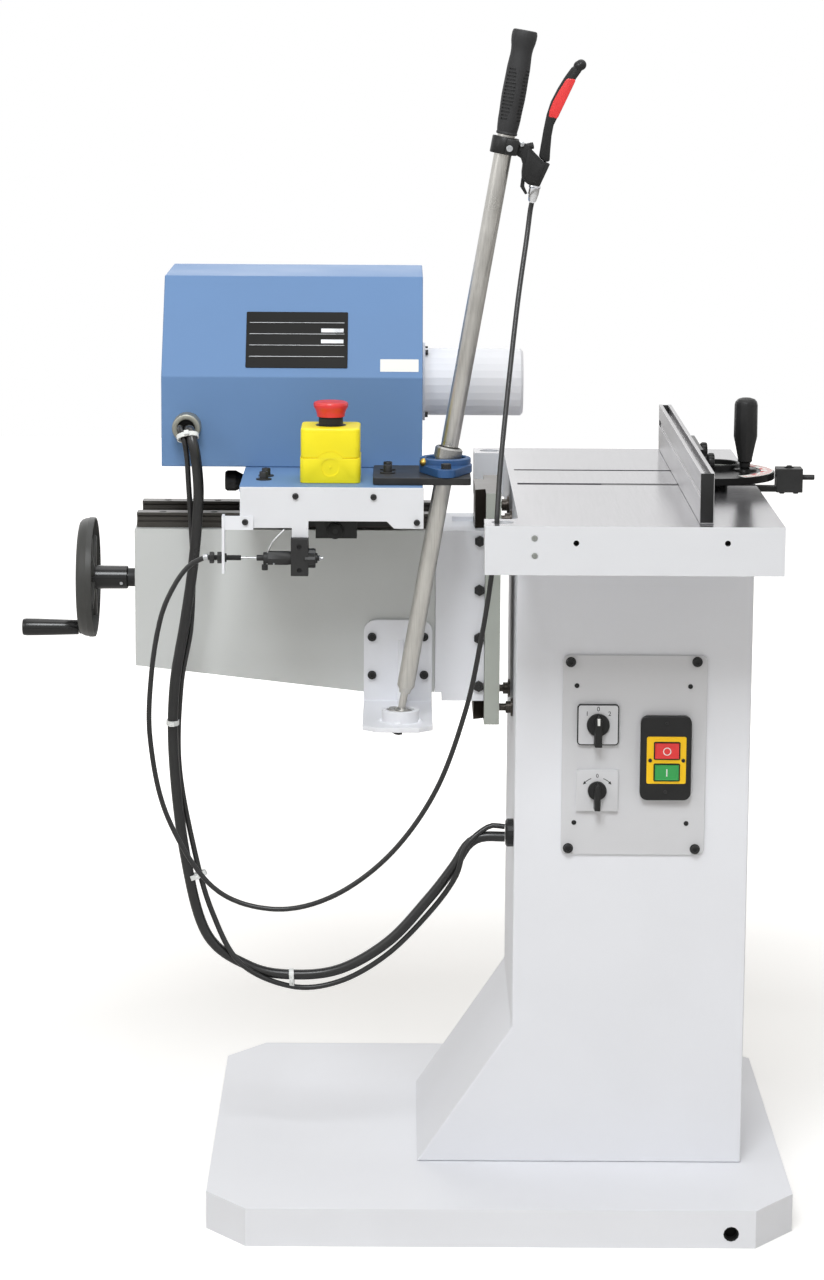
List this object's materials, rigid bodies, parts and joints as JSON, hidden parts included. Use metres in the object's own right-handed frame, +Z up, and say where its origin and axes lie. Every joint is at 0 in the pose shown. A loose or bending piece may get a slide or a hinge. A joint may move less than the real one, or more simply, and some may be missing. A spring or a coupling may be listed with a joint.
{
  "type": "slot mortiser",
  "caption": "Floor-standing slot mortiser with a rising arm, sliding blue head, long control lever, iron table and mitre gauge.",
  "frame": {"origin": "centre of the plinth's underside, on the floor", "axes": "+X to the operator's right along the spindle, from the head to the table; +Y from the operator's side to the back; +Z up"},
  "size_m": [0.943, 0.67, 1.3698],
  "materials": {
    "blue_paint": "smooth semi-gloss blue paint",
    "light_grey_paint": "light grey semi-gloss paint",
    "machined_casting": "machined casting, dull",
    "ground_table_iron": "ground cast iron, satin",
    "oily_dovetail_iron": "dark oiled iron",
    "turned_steel": "turned steel, satin",
    "rail_steel": "hardened ground steel",
    "black_oxide_steel": "black oxide steel",
    "black_plastic": "black moulded plastic",
    "black_grip_rubber": "black ribbed grip rubber",
    "red_button_plastic": "red moulded plastic",
    "green_button_plastic": "green moulded plastic",
    "yellow_box_plastic": "yellow moulded plastic",
    "light_grey_plastic": "light grey plastic",
    "anodised_aluminium": "anodised extrusion",
    "cable_sheath": "black cable sheath"
  },
  "bodies": {
    "stand": {"base_plinth": "light_grey_paint", "column": "light_grey_paint", "table": "ground_table_iron", "lift_way": "oily_dovetail_iron", "control_plate": "light_grey_plastic", "start_stop_box": "black_plastic", "column_gland": "black_plastic", "power_cable": "cable_sheath", "control_cable": "cable_sheath", "brake_cable": "cable_sheath"},
    "lift": {"lift_saddle": "light_grey_paint", "gib_strip": "turned_steel", "arm": "light_grey_paint", "rail_front": "rail_steel", "rail_rear": "rail_steel", "lever_bracket": "light_grey_paint"},
    "handwheel": {"handwheel": "black_plastic", "drive_shaft": "turned_steel"},
    "crank_handle": {"crank_handle": "black_plastic"},
    "lift_screw": {"lift_screw": "turned_steel"},
    "plunge": {"carriage_front": "black_oxide_steel", "carriage_rear": "black_oxide_steel", "slide_plate": "machined_casting", "cross_rail_left": "rail_steel", "cross_rail_right": "rail_steel", "depth_stop": "black_oxide_steel"},
    "cross": {"cross_carriage_left": "black_oxide_steel", "cross_carriage_right": "black_oxide_steel", "head_plate": "blue_paint", "front_cover": "light_grey_paint", "motor_housing": "blue_paint", "motor": "black_oxide_steel", "spindle_guard": "light_grey_paint", "lever_plate": "black_oxide_steel", "bearing_flange": "blue_paint", "estop_box": "yellow_box_plastic", "plunger_block": "black_oxide_steel", "cable_bracket": "light_grey_paint", "housing_gland": "black_plastic"},
    "spindle": {"chuck": "turned_steel"},
    "slide_lock": {"slide_lock_knob": "black_plastic"},
    "estop_button": {"estop_button": "red_button_plastic"},
    "lever_swivel": {"lever_swivel": "turned_steel"},
    "lever": {"lever_tube": "turned_steel", "lever_grip": "black_grip_rubber", "brake_clamp": "black_plastic"},
    "trigger": {"brake_trigger": "black_plastic"},
    "insert_outer": {"insert_outer": "machined_casting"},
    "insert_inner": {"insert_inner": "turned_steel"},
    "index_plunger": {"index_plunger": "turned_steel"},
    "stop_button": {"stop_button": "red_button_plastic"},
    "start_button": {"start_button": "green_button_plastic"},
    "selector_knob": {"selector_knob": "black_plastic"},
    "direction_knob": {"direction_knob": "black_plastic"},
    "gauge_bar": {"gauge_bar": "turned_steel"},
    "gauge_head": {"gauge_head": "black_oxide_steel"},
    "gauge_handle": {"gauge_handle": "black_plastic"},
    "fence": {"fence": "anodised_aluminium"},
    "fence_knob_near": {"fence_knob_near": "black_plastic"},
    "fence_knob_far": {"fence_knob_far": "black_plastic"}
  },
  "joints": [
    {"name": "handwheel_turn", "type": "hinge", "parent": "lift", "child": "handwheel", "pos_m": [-0.48, 0, 0.7187], "axis": [1, 0, 0], "range_deg": [-3330, 4050]},
    {"name": "crank_spin", "type": "hinge", "parent": "handwheel", "child": "crank_handle", "pos_m": [-0.507, 0, 0.6577], "axis": [1, 0, 0], "continuous": true},
    {"name": "screw_turn", "type": "hinge", "parent": "lift", "child": "lift_screw", "pos_m": [-0.05, 0, 0.592], "axis": [0, 0, 1], "range_deg": [-4060, 3340]},
    {"name": "lift_slide", "type": "slide", "parent": "stand", "child": "lift", "axis": [0, 0, 1], "range_m": [-0.037, 0.045], "deforming": ["power_cable", "control_cable", "brake_cable"]},
    {"name": "plunge_slide", "type": "slide", "parent": "lift", "child": "plunge", "axis": [1, 0, 0], "range_m": [-0.11, 0.01], "deforming": ["power_cable", "control_cable", "brake_cable"]},
    {"name": "cross_slide", "type": "slide", "parent": "plunge", "child": "cross", "axis": [0, 1, 0], "range_m": [-0.075, 0.075], "deforming": ["power_cable", "control_cable", "brake_cable"]},
    {"name": "lever_side", "type": "hinge", "parent": "lift", "child": "lever_swivel", "pos_m": [-0.1175, -0.19, 0.592], "axis": [0, 1, 0], "range_deg": [-21.8, 2]},
    {"name": "lever_fore", "type": "hinge", "parent": "lever_swivel", "child": "lever", "pos_m": [-0.1175, -0.19, 0.592], "axis": [-1, 0, 0], "range_deg": [-14.7, 14.7]},
    {"name": "insert_side", "type": "hinge", "parent": "cross", "child": "insert_outer", "pos_m": [-0.068, -0.19, 0.878], "axis": [0, 1, 0], "range_deg": [-21.8, 2]},
    {"name": "insert_fore", "type": "hinge", "parent": "insert_outer", "child": "insert_inner", "pos_m": [-0.068, -0.19, 0.878], "axis": [-1, 0, 0], "range_deg": [-14.7, 14.7]},
    {"name": "brake_squeeze", "type": "hinge", "parent": "lever", "child": "trigger", "pos_m": [0.03974, -0.19, 1.22191], "axis": [0, -1, 0], "range_deg": [0, 14], "stiffness_Nm_per_rad": 1.2, "springref_deg": -6.88},
    {"name": "index_pull", "type": "slide", "parent": "cross", "child": "index_plunger", "axis": [-1, 0, 0], "range_m": [0, 0.0081]},
    {"name": "spindle_spin", "type": "hinge", "parent": "cross", "child": "spindle", "pos_m": [0.012, 0, 0.955], "axis": [1, 0, 0], "continuous": true},
    {"name": "slide_lock_turn", "type": "hinge", "parent": "cross", "child": "slide_lock", "pos_m": [-0.3015, -0.06, 0.844], "axis": [1, 0, 0], "range_deg": [-180, 0]},
    {"name": "estop_press", "type": "slide", "parent": "cross", "child": "estop_button", "axis": [0, 0, -1], "range_m": [0, 0.004], "stiffness_N_per_m": 2500, "springref_m": -0.002},
    {"name": "stop_press", "type": "slide", "parent": "stand", "child": "stop_button", "axis": [0, 1, 0], "range_m": [0, 0.003], "stiffness_N_per_m": 1500, "springref_m": -0.001},
    {"name": "start_press", "type": "slide", "parent": "stand", "child": "start_button", "axis": [0, 1, 0], "range_m": [0, 0.003], "stiffness_N_per_m": 1500, "springref_m": -0.001},
    {"name": "selector_turn", "type": "hinge", "parent": "stand", "child": "selector_knob", "pos_m": [0.1112, -0.1628, 0.5757], "axis": [0, 1, 0], "range_deg": [-60, 60]},
    {"name": "direction_turn", "type": "hinge", "parent": "stand", "child": "direction_knob", "pos_m": [0.1112, -0.1628, 0.4978], "axis": [0, 1, 0], "range_deg": [-45, 45]},
    {"name": "gauge_slide", "type": "slide", "parent": "stand", "child": "gauge_bar", "axis": [1, 0, 0], "range_m": [-0.022, 0.06]},
    {"name": "gauge_pivot", "type": "hinge", "parent": "gauge_bar", "child": "gauge_head", "pos_m": [0.25, 0.003, 0.851], "axis": [0, 0, 1], "range_deg": [-60, 60]},
    {"name": "gauge_clamp", "type": "hinge", "parent": "gauge_head", "child": "gauge_handle", "pos_m": [0.29, 0.003, 0.856], "axis": [0, 0, 1], "range_deg": [0, 180]},
    {"name": "fence_slide", "type": "slide", "parent": "gauge_head", "child": "fence", "axis": [0, 1, 0], "range_m": [-0.06, 0.06]},
    {"name": "fence_clamp_near", "type": "hinge", "parent": "gauge_head", "child": "fence_knob_near", "pos_m": [0.2351, -0.047, 0.868], "axis": [1, 0, 0], "range_deg": [-180, 0]},
    {"name": "fence_clamp_far", "type": "hinge", "parent": "gauge_head", "child": "fence_knob_far", "pos_m": [0.2351, 0.053, 0.868], "axis": [1, 0, 0], "range_deg": [-180, 0]}
  ],
  "couplings": [
    {"joint": "lift_slide", "follows": "handwheel_turn", "m_per_rad": 0.0006366},
    {"joint": "screw_turn", "follows": "handwheel_turn", "ratio": -1},
    {"joint": "lever_side", "follows": "plunge_slide", "rad_per_m": 3.45},
    {"joint": "insert_side", "follows": "plunge_slide", "rad_per_m": 3.45},
    {"joint": "lever_fore", "follows": "cross_slide", "rad_per_m": 3.4},
    {"joint": "insert_fore", "follows": "cross_slide", "rad_per_m": 3.4},
    {"joint": "index_pull", "follows": "brake_squeeze", "m_per_rad": 0.033}
  ]
}
